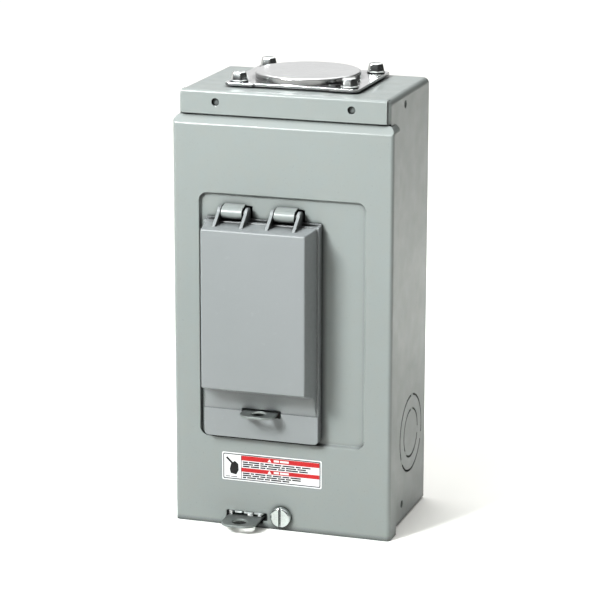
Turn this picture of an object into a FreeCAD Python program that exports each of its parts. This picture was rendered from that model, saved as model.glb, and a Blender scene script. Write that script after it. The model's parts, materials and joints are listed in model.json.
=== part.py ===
import FreeCAD, Part
import math
import os

# Small outdoor load center: sheet-metal enclosure, tilt-out cover, breaker door and its interior.
# Millimetres. X right, Z up, front faces -Y. Origin: centre of the four wall holes, on the rear face.

V = FreeCAD.Vector
X_AXIS = V(1, 0, 0)
Y_AXIS = V(0, 1, 0)
Z_AXIS = V(0, 0, 1)

# Enclosure
SHEET = 1.2
BOX_W = 118.2
BOX_D = 77.0
BOX_H = 242.6
TOP = BOX_H / 2
BOTTOM = -BOX_H / 2
HOOD_LIP = 12.8
HOOD_BEND = 3.4
LIP_W = 114.8
LIP_BEND = 1.6
FRONT_BEND = 2.0
HOOD_FRONT = 75.7
IN_TURN_X = 53.0
SIDE_FRONT = 74.0
STIFFENER = 6.0
SIDE_SHORT = 1.0
LIP_HOLE_X = 38.0
LIP_HOLE_DROP = 6.2
SMALL_HOLE_R = 2.1
UPPER_SIDE_HOLE = (-47.0, TOP - 6.8)
LOWER_SIDE_HOLE = (-45.4, TOP - 232.0)
PANEL_GAP = 0.1
BACK_FLANGE = 6.8
WALL_HOLE_X = 76.0
WALL_HOLE_Z = 176.0
WALL_HOLE_R = 2.8
SCREW_DROP = 234.4
END_FLANGE = 13.0

# Knockouts
KO_OUTER_R = 22.0
KO_INNER_R = 14.1
KO_GAP = 1.1
KO_TIE_W = 4.0
RING_TIES = (85, -20, 215)
DISC_TIES = (85, -8, 225)
SIDE_KO = (-28.9, TOP - 195.3)
END_KO_Y = -37.0
BACK_KO_Z = TOP - 24.0

# Hub closing plate
HUB_W, HUB_D = 75.2, 62.0
HUB_Y = -33.0
HUB_CORNER_R = 3.0
HUB_HOLE_R = 25.0
HUB_PLATE_T = 1.6
HUB_GASKET_T = 0.8
DOME_R = 28.8
DOME_H = 5.4
HUB_SCREW_X, HUB_SCREW_Y = 31.0, 24.8
HUB_SCREW_HOLE_R = 2.5
SCREW_CLEARANCE_R = 3.4
HUB_SCREW = (8.4, 5.4, 4.9, 1.1, 2.2, 10.0)
GASKET_INSET = 2.2
DOME_RIM_R = 1.0
NOTCH_CORNER, NOTCH_DEPTH = 16.0, 1.2

# Cover
COVER_W = 123.8
COVER_FACE = -79.0
COVER_TOP = TOP - 18.2
COVER_SLOPE_TOP = TOP - 13.4
COVER_HOOK_Y = -75.2
COVER_HOOK_TOP = TOP - 3.4
COVER_FLANGE = 12.6
COVER_HOOK_W = 104.6
COVER_CORNER_R = 4.8
COVER_BEND = 2.2
SLOPE_SHIFT = 0.35
SIDE_CLEAR_X = BOX_W / 2 + 0.25
RECESS_W = 94.0
RECESS_DEPTH = 2.0
RECESS_TOP, RECESS_BOTTOM = TOP - 55.2, TOP - 192.0
RECESS_FLOOR = COVER_FACE + RECESS_DEPTH
RECESS_DRAFT = 1.0
RECESS_CORNER_R = 5.0
LABEL = (-34.4, 23.1, TOP - 216.4, TOP - 200.4)
LABEL_T = 0.2
LABEL_CORNER_R = 0.8
SCREW_HEAD_R, SCREW_HEAD_H = 5.75, 3.2
SCREW_HOLE_R = 3.0

# Breakers
BREAKER_W = 25.4
BREAKER_L = 76.0
BREAKER_FRONT = -74.0
BREAKER_BACK = -16.0
BREAKER_MID_X = -10.3
BREAKER_MID_Z = TOP - 128.0
NOSE_L = 44.0
NOSE_FRONT = -79.5
BREAKER_XS = (BREAKER_MID_X - BREAKER_W / 2, BREAKER_MID_X + BREAKER_W / 2)
HANDLE_AXIS_Y = -72.0
HANDLE_DRUM_R = 9.0
HANDLE_ON_TILT = 22.0
HANDLE_REACH, HANDLE_W = 19.5, 7.8
HANDLE_ROOT_HALF, HANDLE_TIP_HALF = 4.5, 2.6
HANDLE_PIN_R = 1.5
HANDLE_SLOT = (9.0, 17.6)
NOTCH_Z = BREAKER_MID_Z - 31.5
LUG_W, LUG_FRONT, LUG_BACK, LUG_MID = 12.0, -61.8, -46.0, 7.0

# Breaker door and its hinge
DOOR_MID_X = -10.3
DOOR_BASE_HALF, DOOR_BODY_HALF, DOOR_FRONT_HALF = 32.6, 31.4, 29.3
DOOR_FRONT = -97.5
DOOR_LOWER = -84.0
DOOR_BACK = RECESS_FLOOR - 0.5
DOOR_TOP, DOOR_TOP_FRONT = TOP - 69.4, TOP - 71.4
DOOR_BEVEL_TOP, DOOR_BEVEL_END = TOP - 159.3, TOP - 174.3
SCOOP_Y, SCOOP_Z, SCOOP_STEP = -86.4, TOP - 163.2, 0.6
DOOR_RIM_Y = -83.2
DOOR_LIP_Y, DOOR_LIP_TOP = -78.8, TOP - 68.2
DOOR_GROOVE_W, DOOR_GROOVE_DEPTH = 0.9, 1.1
DOOR_BOTTOM = TOP - 190.0
DOOR_WALL = 1.8
DOOR_CORNER_R, DOOR_EDGE_R = 2.4, 0.9
HINGE_Y, HINGE_Z = -80.8, TOP - 65.2
BARREL_R, BARREL_BORE = 3.5, 2.0
PEG_R = 1.94
BARRELS = ((-32.7, -20.8), (-2.9, 8.7))
EAR_T = 1.8
EAR_GAPS = (0.4, 1.3)
EAR_FRONT = -92.0
BARREL_WINDOW = 3.6
BARREL_WINDOW_TOP = HINGE_Z + BARREL_R - 0.1
STRAP_RISE = 1.1

# Padlock tabs
TAB_T = 1.4
TAB_W = 20.0
TAB_CORNER_R = 7.0
PADLOCK_R = 4.3
BOX_TAB = (-21.4, -95.2, TOP - 237.6)
TAB_SLOT = (-31.9, -8.3, TOP - 238.4, TOP - 234.0)
TAB_RELIEF = 2.4
DOOR_TAB = (-10.2, -95.8, TOP - 174.4)
PADLOCK_INSET = 7.2
DOOR_TAB_FOOT = 9.0

# Interior
BASE_FRONT, BASE_BACK = -14.0, -4.0
BASE_X, BASE_Z = (-44.0, 46.0), (TOP - 176.0, TOP - 44.0)
BASE_SCREWS = ((27.0, TOP - 52.0), (27.0, TOP - 168.0), (-37.0, TOP - 52.0))
BUS_END = TOP - 118.0
BAR_SCREWS = {"neutral": 8, "ground": 6}
BUS_Y = -16.0
LUG_Z = TOP - 62.0
NEUTRAL_X, NEUTRAL_Y = 36.0, -27.0
NEUTRAL_TOP, NEUTRAL_LEN = TOP - 78.0, 84.0
GROUND_Z, GROUND_Y = TOP - 196.0, -10.0
GROUND_LEN = 64.0


def block(x0, x1, y0, y1, z0, z1):
    """Box between two corners."""
    return Part.makeBox(x1 - x0, y1 - y0, z1 - z0, V(x0, y0, z0))


def rod(centre, radius, length, axis):
    """Cylinder centred on a point."""
    start = centre - axis * (length / 2)
    return Part.makeCylinder(radius, length, start, axis)


def prism_yz(points, x0, x1):
    """Solid from an outline of (y, z) points, between two X planes."""
    wire = Part.makePolygon([V(x0, y, z) for y, z in points + points[:1]])
    return Part.Face(wire).extrude(V(x1 - x0, 0, 0))


def prism_xy(points, z0, z1):
    """Solid from an outline of (x, y) points, between two Z planes."""
    wire = Part.makePolygon([V(x, y, z0) for x, y in points + points[:1]])
    return Part.Face(wire).extrude(V(0, 0, z1 - z0))


def rounded(solid, radius, test):
    """Fillet the straight edges whose centre passes a test."""
    edges = [e for e in solid.Edges if test(e.BoundBox.Center, e)]
    return solid.makeFillet(radius, edges)


def along(edge, axis):
    """True for a straight edge parallel to an axis."""
    if not isinstance(edge.Curve, Part.Line):
        return False
    return abs(abs(edge.tangentAt(edge.FirstParameter).dot(axis)) - 1) < 1e-6


def rounded_block(x0, x1, y0, y1, z0, z1, radius, axis):
    """Box with the four edges along one axis rounded."""
    return rounded(block(x0, x1, y0, y1, z0, z1), radius, lambda c, e: along(e, axis))


def hex_head(centre, axis, across, height, flange_r, flange_t):
    """Hexagon head with a washer flange, seated on a point and rising along an axis."""
    flange = Part.makeCylinder(flange_r, flange_t, centre, axis)
    radius = across / math.sqrt(3)
    corners = [V(radius * math.cos(math.radians(60 * i)), radius * math.sin(math.radians(60 * i)), 0)
               for i in range(7)]
    hexagon = Part.Face(Part.makePolygon(corners)).extrude(V(0, 0, height))
    hexagon.Placement = FreeCAD.Placement(centre, FreeCAD.Rotation(Z_AXIS, axis))
    return flange.fuse(hexagon).removeSplitter()


def slotted_screw(seat, axis, head_r, head_h, shaft_r, shaft_len):
    """Round screw: head rises from the seat along an axis, shaft goes the other way."""
    head = Part.makeCylinder(head_r, head_h, seat, axis)
    rim = [e for e in head.Edges if abs((e.BoundBox.Center - seat).dot(axis) - head_h) < 1e-3
           and isinstance(e.Curve, Part.Circle)]
    head = head.makeFillet(min(head_h, head_r) * 0.45, rim)
    across = X_AXIS.cross(axis) if abs(axis.dot(X_AXIS)) < 0.5 else Y_AXIS
    slot_w, slot_d = head_r * 0.26, head_h * 0.5
    slot = Part.makeBox(slot_w, 3 * head_r, slot_d, V(-slot_w / 2, -1.5 * head_r, 0))
    slot.Placement = FreeCAD.Placement(seat + axis * (head_h - slot_d),
                                       FreeCAD.Rotation(X_AXIS, across, axis, "ZXY"))
    shaft = Part.makeCylinder(shaft_r, shaft_len, seat, axis * -1)
    return head.cut(slot).fuse(shaft).removeSplitter()


def group(solids):
    """Several separate solids in one node."""
    return Part.makeCompound(solids)


def ring_ties(outer_r, inner_r, thickness, angles):
    """Small bridges that hold a knockout in its hole, on the Z axis from z = 0."""
    ties = []
    for angle in angles:
        tie = Part.makeBox(outer_r - inner_r + 0.6, KO_TIE_W, thickness,
                           V(inner_r - 0.3, -KO_TIE_W / 2, 0))
        ties.append(tie.rotate(V(0, 0, 0), Z_AXIS, angle))
    limit = Part.makeCylinder(outer_r, thickness)
    return [tie.common(limit) for tie in ties]


def knockout_ring(thickness):
    """Outer concentric knockout, a ring with three ties, on the Z axis."""
    ring = Part.makeCylinder(KO_OUTER_R - KO_GAP, thickness)
    ring = ring.cut(Part.makeCylinder(KO_INNER_R, thickness))
    return ring.multiFuse(ring_ties(KO_OUTER_R, KO_OUTER_R - KO_GAP, thickness, RING_TIES))


def knockout_disc(thickness):
    """Inner knockout, a disc with three ties, on the Z axis."""
    disc = Part.makeCylinder(KO_INNER_R - KO_GAP, thickness)
    return disc.multiFuse(ring_ties(KO_INNER_R, KO_INNER_R - KO_GAP, thickness, DISC_TIES))


def placed(solid, origin, axis, up):
    """Move a solid built on the Z axis to an origin, its Z turned to an axis and its Y to up."""
    solid = solid.copy()
    solid.Placement = FreeCAD.Placement(origin, FreeCAD.Rotation(up.cross(axis), up, axis, "ZYX"))
    return solid


def hub_screw_spots():
    """X and Y of the four hub screws."""
    return [(x, HUB_Y + y) for x in (-HUB_SCREW_X, HUB_SCREW_X) for y in (-HUB_SCREW_Y, HUB_SCREW_Y)]


def hood_block(inset):
    """Outer form of the hood, or its inside when inset by the sheet."""
    half = BOX_W / 2 - inset
    top, front = TOP - inset, -HOOD_FRONT + inset
    form = block(-half, half, front, inset, BOTTOM - inset, top)
    form = rounded(form, HOOD_BEND - inset, lambda c, e: along(e, Y_AXIS) and c.z > top - 1)
    return rounded(form, FRONT_BEND - inset, lambda c, e: c.y < front + 0.01 and c.z > BOTTOM)


def hood_lip():
    """Front lip turned down from the top sheet."""
    inner_bend = LIP_BEND - SHEET
    rear = -HOOD_FRONT + 3.0
    bent = block(-LIP_W / 2, LIP_W / 2, -BOX_D, rear, TOP - HOOD_LIP, TOP)
    bent = rounded(bent, LIP_BEND, lambda c, e: along(e, X_AXIS) and c.z > TOP - 1 and c.y < -BOX_D + 1)
    hollow = block(-LIP_W / 2, LIP_W / 2, -BOX_D + SHEET, rear, TOP - HOOD_LIP, TOP - SHEET)
    hollow = rounded(hollow, inner_bend, lambda c, e: along(e, X_AXIS) and c.z > TOP - 2
                     and c.y < -BOX_D + 2)
    return bent.cut(hollow)


def hood_wrap():
    """Top, two sides and front lip bent from one sheet."""
    half = BOX_W / 2
    shell = hood_block(0).cut(hood_block(SHEET))
    shell = shell.cut(block(-half - 1, half + 1, -BOX_D - 1, -SIDE_FRONT, BOTTOM - 1, TOP - HOOD_LIP))
    shell = shell.cut(block(-IN_TURN_X, IN_TURN_X, -BOX_D, -HOOD_FRONT + FRONT_BEND,
                            TOP - HOOD_LIP - 1, TOP + 1))
    shell = shell.cut(block(-half - 1, half + 1, -BOX_D, 1, BOTTOM - 1, BOTTOM + SIDE_SHORT))
    pieces = [hood_lip()]
    for side in (-1, 1):
        x0, x1 = sorted((side * (half - SHEET - STIFFENER), side * (half - SHEET / 2)))
        pieces.append(block(x0, x1, -SIDE_FRONT, -SIDE_FRONT + SHEET, BOTTOM + 16, TOP - 22))
    shell = shell.multiFuse(pieces)
    tools = [rod(V(0, HUB_Y, TOP), HUB_HOLE_R, 10, Z_AXIS)]
    for x in (-LIP_HOLE_X, LIP_HOLE_X):
        tools.append(rod(V(x, -BOX_D, TOP - LIP_HOLE_DROP), SMALL_HOLE_R, 4, Y_AXIS))
    for side in (-1, 1):
        for y, z in (UPPER_SIDE_HOLE, LOWER_SIDE_HOLE):
            tools.append(rod(V(side * half, y, z), SMALL_HOLE_R, 6, X_AXIS))
        tools.append(rod(V(side * half, SIDE_KO[0], SIDE_KO[1]), KO_OUTER_R, 6, X_AXIS))
    for x, y in hub_screw_spots():
        tools.append(rod(V(x, y, TOP), HUB_SCREW_HOLE_R, 6, Z_AXIS))
    return shell.cut(Part.makeCompound(tools)).removeSplitter()


def back_panel():
    """Rear sheet with its side and top flanges turned forward."""
    half = BOX_W / 2 - SHEET - PANEL_GAP
    top = TOP - SHEET - PANEL_GAP
    tray = block(-half, half, -BACK_FLANGE, 0, BOTTOM, top)
    tray = rounded(tray, HOOD_BEND - SHEET, lambda c, e: along(e, Y_AXIS) and c.z > top - 1)
    hollow = block(-half + SHEET, half - SHEET, -BACK_FLANGE - 1, -SHEET, BOTTOM - 1, top - SHEET)
    hollow = rounded(hollow, HOOD_BEND - 2 * SHEET, lambda c, e: along(e, Y_AXIS) and c.z > top - 2)
    tray = tray.cut(hollow)
    tools = [block(-half - 1, half + 1, -BACK_FLANGE - 1, -SHEET, BOTTOM - 1, BOTTOM + END_FLANGE + 3)]
    for x in (-WALL_HOLE_X / 2, WALL_HOLE_X / 2):
        for z in (-WALL_HOLE_Z / 2, WALL_HOLE_Z / 2):
            tools.append(rod(V(x, 0, z), WALL_HOLE_R, 10, Y_AXIS))
    tools.append(rod(V(0, 0, BACK_KO_Z), KO_INNER_R, 10, Y_AXIS))
    for x, y in hub_screw_spots():
        tools.append(rod(V(x, y, TOP), SCREW_CLEARANCE_R, 20, Z_AXIS))
    return tray.cut(Part.makeCompound(tools)).removeSplitter()


def bottom_end_wall():
    """Bottom tray: floor, front flange with screw hole and slot, side and rear flanges."""
    half = BOX_W / 2 - SHEET - PANEL_GAP
    front, rear = -SIDE_FRONT, -SHEET - PANEL_GAP
    tray = block(-half, half, front, rear, BOTTOM, BOTTOM + END_FLANGE)
    tray = tray.cut(block(-half + SHEET, half - SHEET, front + SHEET, rear - SHEET,
                          BOTTOM + SHEET, BOTTOM + END_FLANGE + 1))
    tray = tray.cut(block(-half - 1, half + 1, front + 10, rear + 1, BOTTOM + 7, BOTTOM + END_FLANGE + 1))
    tab_x, _, tab_z = BOX_TAB
    tools = [rod(V(0, front, TOP - SCREW_DROP), SCREW_HOLE_R - 0.1, 10, Y_AXIS),
             rod(V(0, END_KO_Y, BOTTOM), KO_OUTER_R, 6, Z_AXIS),
             block(tab_x - TAB_W / 2 - 0.1, tab_x + TAB_W / 2 + 0.1, front - 1, front + SHEET,
                   tab_z - TAB_T / 2 - 0.1, BOTTOM + END_FLANGE + 1)]
    for side in (-1, 1):
        tools.append(rod(V(side * half, *LOWER_SIDE_HOLE), SMALL_HOLE_R, 6, X_AXIS))
    return tray.cut(Part.makeCompound(tools)).removeSplitter()


def padlock_tab(x, tip, z, root, foot_z):
    """Flat tab with a padlock hole, and a foot that turns along the sheet it is welded to."""
    plate = block(x - TAB_W / 2, x + TAB_W / 2, tip, root, z - TAB_T / 2, z + TAB_T / 2)
    plate = rounded(plate, TAB_CORNER_R, lambda c, e: along(e, Z_AXIS) and c.y < tip + 1)
    foot = block(x - TAB_W / 2, x + TAB_W / 2, root - TAB_T, root, *sorted((z, foot_z)))
    hole = rod(V(x, tip + PADLOCK_INSET, z), PADLOCK_R, 10, Z_AXIS)
    return plate.fuse(foot).cut(hole).removeSplitter()


def box_padlock_tab():
    x, tip, z = BOX_TAB
    root = -SIDE_FRONT + SHEET + TAB_T
    return padlock_tab(x, tip, z, root, BOTTOM + SHEET + 0.2)


def door_padlock_tab():
    x, tip, z = DOOR_TAB
    return padlock_tab(x, tip, z, RECESS_FLOOR, z - DOOR_TAB_FOOT)


def side_knockouts(make, side):
    """One knockout piece in a side wall."""
    origin = V(side * (BOX_W / 2 - SHEET), SIDE_KO[0], SIDE_KO[1])
    return placed(make(SHEET), origin, V(side, 0, 0), Z_AXIS)


def end_knockout(make):
    return placed(make(SHEET), V(0, END_KO_Y, BOTTOM), Z_AXIS, Y_AXIS)


def back_knockout():
    return placed(knockout_disc(SHEET), V(0, -SHEET, BACK_KO_Z), Y_AXIS, Z_AXIS)


def hub_gasket():
    half_w, half_d = HUB_W / 2 - GASKET_INSET, HUB_D / 2 - GASKET_INSET
    gasket = rounded_block(-half_w, half_w, HUB_Y - half_d, HUB_Y + half_d, TOP, TOP + HUB_GASKET_T,
                           HUB_CORNER_R, Z_AXIS)
    tools = [rod(V(0, HUB_Y, TOP), HUB_HOLE_R, 10, Z_AXIS)]
    for x, y in hub_screw_spots():
        tools.append(rod(V(x, y, TOP), HUB_SCREW_HOLE_R, 10, Z_AXIS))
    return gasket.cut(Part.makeCompound(tools))


def hub_closing_plate():
    """Plate with a drawn dome, corners left proud and the long edges notched back."""
    z0 = TOP + HUB_GASKET_T
    y0, y1 = HUB_Y - HUB_D / 2, HUB_Y + HUB_D / 2
    plate = rounded_block(-HUB_W / 2, HUB_W / 2, y0, y1, z0, z0 + HUB_PLATE_T, HUB_CORNER_R, Z_AXIS)
    dome = Part.makeCylinder(DOME_R, DOME_H, V(0, HUB_Y, z0))
    dome = dome.makeFillet(DOME_RIM_R, [e for e in dome.Edges if e.BoundBox.ZMin > z0 + DOME_H - 0.1])
    tools = [Part.makeCylinder(DOME_R - HUB_PLATE_T, DOME_H - HUB_PLATE_T, V(0, HUB_Y, z0))]
    half_notch = HUB_W / 2 - NOTCH_CORNER
    for y in (y0, y1):
        notch = block(-half_notch, half_notch, y - NOTCH_DEPTH, y + NOTCH_DEPTH, z0 - 1, z0 + DOME_H)
        tools.append(rounded(notch, NOTCH_DEPTH * 0.8, lambda c, e: along(e, Z_AXIS)))
    for x, y in hub_screw_spots():
        tools.append(rod(V(x, y, TOP), HUB_SCREW_HOLE_R, 10, Z_AXIS))
    return plate.fuse(dome).cut(Part.makeCompound(tools)).removeSplitter()


def hub_screws():
    seat = TOP + HUB_GASKET_T + HUB_PLATE_T
    across, height, flange_r, flange_t, shaft_r, shaft_len = HUB_SCREW
    screws = []
    for x, y in hub_screw_spots():
        head = hex_head(V(x, y, seat), Z_AXIS, across, height, flange_r, flange_t)
        shaft = Part.makeCylinder(shaft_r, shaft_len, V(x, y, seat - shaft_len))
        screws.append(head.fuse(shaft).removeSplitter())
    return group(screws)


def cover_form(inset):
    """Outer form of the cover face and slope, or its inside when inset by the sheet."""
    half = COVER_W / 2 - inset
    face, hook = COVER_FACE + inset, COVER_HOOK_Y + inset
    back = COVER_FACE + COVER_FLANGE + inset
    shift = inset * SLOPE_SHIFT
    top = COVER_SLOPE_TOP - inset
    side = [(back, BOTTOM + inset), (face, BOTTOM + inset), (face, COVER_TOP - shift),
            (hook, COVER_SLOPE_TOP - shift), (back, COVER_SLOPE_TOP - shift)]
    front = block(-half, half, face - 1, back + 1, BOTTOM - 1, top)
    front = rounded(front, COVER_CORNER_R - inset, lambda c, e: along(e, Y_AXIS) and c.z > top - 1)
    plan = block(-half, half, face, back + 1, BOTTOM - 1, top + 1)
    plan = rounded(plan, COVER_BEND - inset, lambda c, e: along(e, Z_AXIS) and c.y < face + 1)
    bent = rounded(prism_yz(side, -half, half), COVER_BEND - inset,
                   lambda c, e: along(e, X_AXIS) and c.y < face + 0.01 and c.z > 0)
    return bent.common(front).common(plan)


def cover_panel():
    """Drawn cover: face and slope, side and bottom flanges, hook that tucks behind the hood lip."""
    half, hook_half, rear = COVER_W / 2, COVER_HOOK_W / 2, COVER_HOOK_Y + SHEET
    form = cover_form(0)
    open_x = half - COVER_CORNER_R - SHEET
    sky = [(rear, COVER_SLOPE_TOP - SHEET * SLOPE_SHIFT), (rear, TOP), (0, TOP), (0, COVER_TOP - SHEET),
           (COVER_FACE + SHEET, COVER_TOP - SHEET * SLOPE_SHIFT)]
    tools = [cover_form(SHEET), prism_yz(sky, -open_x, open_x),
             block(-SIDE_CLEAR_X, SIDE_CLEAR_X, -SIDE_FRONT - 0.2, 0, COVER_TOP - COVER_CORNER_R, TOP),
             block(-half + SHEET, half - SHEET, COVER_FACE + 4.2, 0, BOTTOM - 1, BOTTOM + SHEET + 1)]
    hook = block(-hook_half, hook_half, COVER_HOOK_Y, rear, COVER_SLOPE_TOP - 1.0, COVER_HOOK_TOP)
    return form.cut(Part.makeCompound(tools)).fuse(hook)


def recess_prism(depth_from, depth_to, inset, radius):
    x0, x1 = -RECESS_W / 2 + inset, RECESS_W / 2 - inset
    return rounded_block(x0, x1, depth_from, depth_to, RECESS_BOTTOM + inset, RECESS_TOP - inset,
                         radius, Y_AXIS)


def sunk_field():
    """Space of the sunk breaker field, with drafted walls."""
    half, draft = RECESS_W / 2, RECESS_DRAFT
    outline = [(-half, COVER_FACE), (half, COVER_FACE), (half - draft, RECESS_FLOOR),
               (-half + draft, RECESS_FLOOR)]
    lids = [(COVER_FACE, RECESS_BOTTOM), (COVER_FACE, RECESS_TOP),
            (RECESS_FLOOR, RECESS_TOP - draft), (RECESS_FLOOR, RECESS_BOTTOM + draft)]
    sunk = prism_xy(outline, RECESS_BOTTOM, RECESS_TOP).common(prism_yz(lids, -half, half))
    return sunk.common(recess_prism(COVER_FACE - 1, RECESS_FLOOR + 1, 0, RECESS_CORNER_R))


def cover_openings():
    """Screw hole, padlock slot, breaker window and the windows behind the hinge barrels."""
    tab_x, _, tab_z = BOX_TAB
    tab_half, window_half = TAB_W / 2 + 0.4, BREAKER_W + 1.0
    x0, x1, z0, z1 = TAB_SLOT
    low, high = BREAKER_MID_Z - NOSE_L / 2 - 1.4, BREAKER_MID_Z + NOSE_L / 2 + 1.0
    tools = [rod(V(0, COVER_FACE, TOP - SCREW_DROP), SCREW_HOLE_R, 10, Y_AXIS),
             rounded_block(x0, x1, COVER_FACE - 1, COVER_FACE + 3, z0, z1, 0.8, Y_AXIS),
             block(tab_x - tab_half, tab_x + tab_half, COVER_FACE - 1, COVER_FACE + 3,
                   tab_z - TAB_RELIEF, z1 - 1),
             rounded_block(BREAKER_MID_X - window_half, BREAKER_MID_X + window_half,
                           RECESS_FLOOR - 1, RECESS_FLOOR + 3, low, high, 1.0, Y_AXIS)]
    for x0, x1 in BARRELS:
        tools.append(block(x0 - 0.4, x1 + BARREL_WINDOW, RECESS_FLOOR - 1, RECESS_FLOOR + 3,
                           HINGE_Z - BARREL_R, BARREL_WINDOW_TOP))
    return Part.makeCompound(tools)


def cover():
    """Cover panel with its sunk breaker field and openings."""
    backing = recess_prism(COVER_FACE + SHEET / 2, RECESS_FLOOR + SHEET, -SHEET, RECESS_CORNER_R + 1.0)
    return cover_panel().fuse(backing).cut(sunk_field()).cut(cover_openings()).removeSplitter()


def hinge_barrels():
    """Two curled barrels with their straight roots on the recess floor."""
    barrels = []
    for x0, x1 in BARRELS:
        middle = V((x0 + x1) / 2, HINGE_Y, HINGE_Z)
        curl = rod(middle, BARREL_R, x1 - x0, X_AXIS)
        root = prism_yz([(RECESS_FLOOR, HINGE_Z + BARREL_R + STRAP_RISE), (HINGE_Y, HINGE_Z + BARREL_R),
                         (HINGE_Y, HINGE_Z + BARREL_BORE + 0.4), (RECESS_FLOOR, BARREL_WINDOW_TOP)], x0, x1)
        barrels.append(curl.fuse(root).cut(rod(middle, BARREL_BORE, 30, X_AXIS)).removeSplitter())
    return group(barrels)


def door_form(inset):
    """Outer form of the door, or its inside when inset by the wall."""
    back = DOOR_BACK + (1 if inset else 0)
    front, lower = DOOR_FRONT + inset, DOOR_LOWER + inset
    body_half, rim_half, front_half = (h - inset for h in (DOOR_BODY_HALF, DOOR_BASE_HALF, DOOR_FRONT_HALF))
    plan = [(DOOR_MID_X - body_half, back), (DOOR_MID_X + body_half, back),
            (DOOR_MID_X + body_half, DOOR_LOWER), (DOOR_MID_X + front_half, front),
            (DOOR_MID_X - front_half, front), (DOOR_MID_X - body_half, DOOR_LOWER)]
    side = [(back, DOOR_TOP - inset), (front, DOOR_TOP_FRONT - inset), (front, DOOR_BEVEL_TOP + inset),
            (SCOOP_Y + inset, SCOOP_Z + inset), (lower + SCOOP_STEP, DOOR_BEVEL_END - inset),
            (back, DOOR_BEVEL_END - inset)]
    body = prism_xy(plan, DOOR_BOTTOM, DOOR_TOP).common(
        prism_yz(side, DOOR_MID_X - body_half - 1, DOOR_MID_X + body_half + 1))
    foot = block(DOOR_MID_X - rim_half, DOOR_MID_X + rim_half, lower, back,
                 DOOR_BOTTOM + inset, DOOR_BEVEL_END - inset * 0.4)
    rim = block(DOOR_MID_X - rim_half, DOOR_MID_X + rim_half, DOOR_RIM_Y + inset * 0.4, back,
                DOOR_BOTTOM + inset, DOOR_TOP - inset)
    return body.multiFuse([foot, rim]).removeSplitter()


def door_rear_lip():
    """Thin upstand along the top of the door, between the ears."""
    half = DOOR_BASE_HALF
    return block(DOOR_MID_X - half, DOOR_MID_X + half, DOOR_LIP_Y, DOOR_BACK, DOOR_TOP - 1.0, DOOR_LIP_TOP)


def door_groove():
    """Space of the groove along the front of the rear lip."""
    half = DOOR_BASE_HALF - DOOR_WALL
    return block(DOOR_MID_X - half, DOOR_MID_X + half, DOOR_LIP_Y - DOOR_GROOVE_W, DOOR_LIP_Y,
                 DOOR_TOP - DOOR_GROOVE_DEPTH, DOOR_TOP + 1)


def ear_positions():
    """X of the four hinge ears and the direction from each towards its barrel."""
    spots = []
    near, far = EAR_GAPS
    for x0, x1 in BARRELS:
        spots.append((x0 - near - EAR_T, x0 - near, 1))
        spots.append((x1 + far, x1 + far + EAR_T, -1))
    return spots


def breaker_door():
    """Moulded door: hollow shell, padlock slot, four ears with pegs that snap into the barrels."""
    form = door_form(0)
    low = rounded(form, DOOR_CORNER_R, lambda c, e: along(e, Y_AXIS) and c.z < DOOR_BOTTOM + 1)
    soft = rounded(low, DOOR_EDGE_R, lambda c, e: c.y < SCOOP_Y - 1)
    shell = soft.cut(door_form(DOOR_WALL)).cut(door_groove())
    ears = [door_rear_lip()]
    for x0, x1, towards in ear_positions():
        lobe = rod(V((x0 + x1) / 2, HINGE_Y, HINGE_Z), BARREL_R - 0.1, EAR_T, X_AXIS)
        web = prism_yz([(HINGE_Y - 1.0, HINGE_Z + 2.8), (EAR_FRONT, DOOR_TOP_FRONT + 1.2),
                        (EAR_FRONT, DOOR_TOP_FRONT - 1.0), (HINGE_Y + 2.2, DOOR_TOP - 0.6),
                        (HINGE_Y + 2.8, HINGE_Z)], x0, x1)
        peg_x = x1 if towards > 0 else x0
        peg_len = EAR_GAPS[1] + 3.5
        peg = Part.makeCylinder(PEG_R, peg_len + EAR_T / 2,
                                V(peg_x - towards * EAR_T / 2, HINGE_Y, HINGE_Z), V(towards, 0, 0))
        ears.extend([lobe, web, peg])
    shell = shell.multiFuse(ears)
    tab_x, _, tab_z = DOOR_TAB
    slot = rounded_block(tab_x - TAB_W / 2 - 1.0, tab_x + TAB_W / 2 + 1.4, DOOR_LOWER - 8,
                         DOOR_LOWER + DOOR_WALL + 2, tab_z - TAB_T / 2 - 1.7, tab_z + TAB_T / 2 + 0.7,
                         0.8, Y_AXIS)
    return shell.cut(slot).removeSplitter()


def cover_label():
    x0, x1, z0, z1 = LABEL
    return rounded_block(x0, x1, COVER_FACE - LABEL_T, COVER_FACE, z0, z1, LABEL_CORNER_R, Y_AXIS)


def cover_screw():
    seat = V(0, COVER_FACE - 0.3, TOP - SCREW_DROP)
    return slotted_screw(seat, V(0, -1, 0), SCREW_HEAD_R, SCREW_HEAD_H, 2.4, 12.0)


def screw_retainer():
    """Spring washer behind the cover that keeps the screw in its hole."""
    centre = V(0, COVER_FACE + SHEET, TOP - SCREW_DROP)
    washer = Part.makeCylinder(5.0, 0.8, centre, Y_AXIS)
    return washer.cut(rod(centre, 2.46, 10, Y_AXIS))


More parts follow.
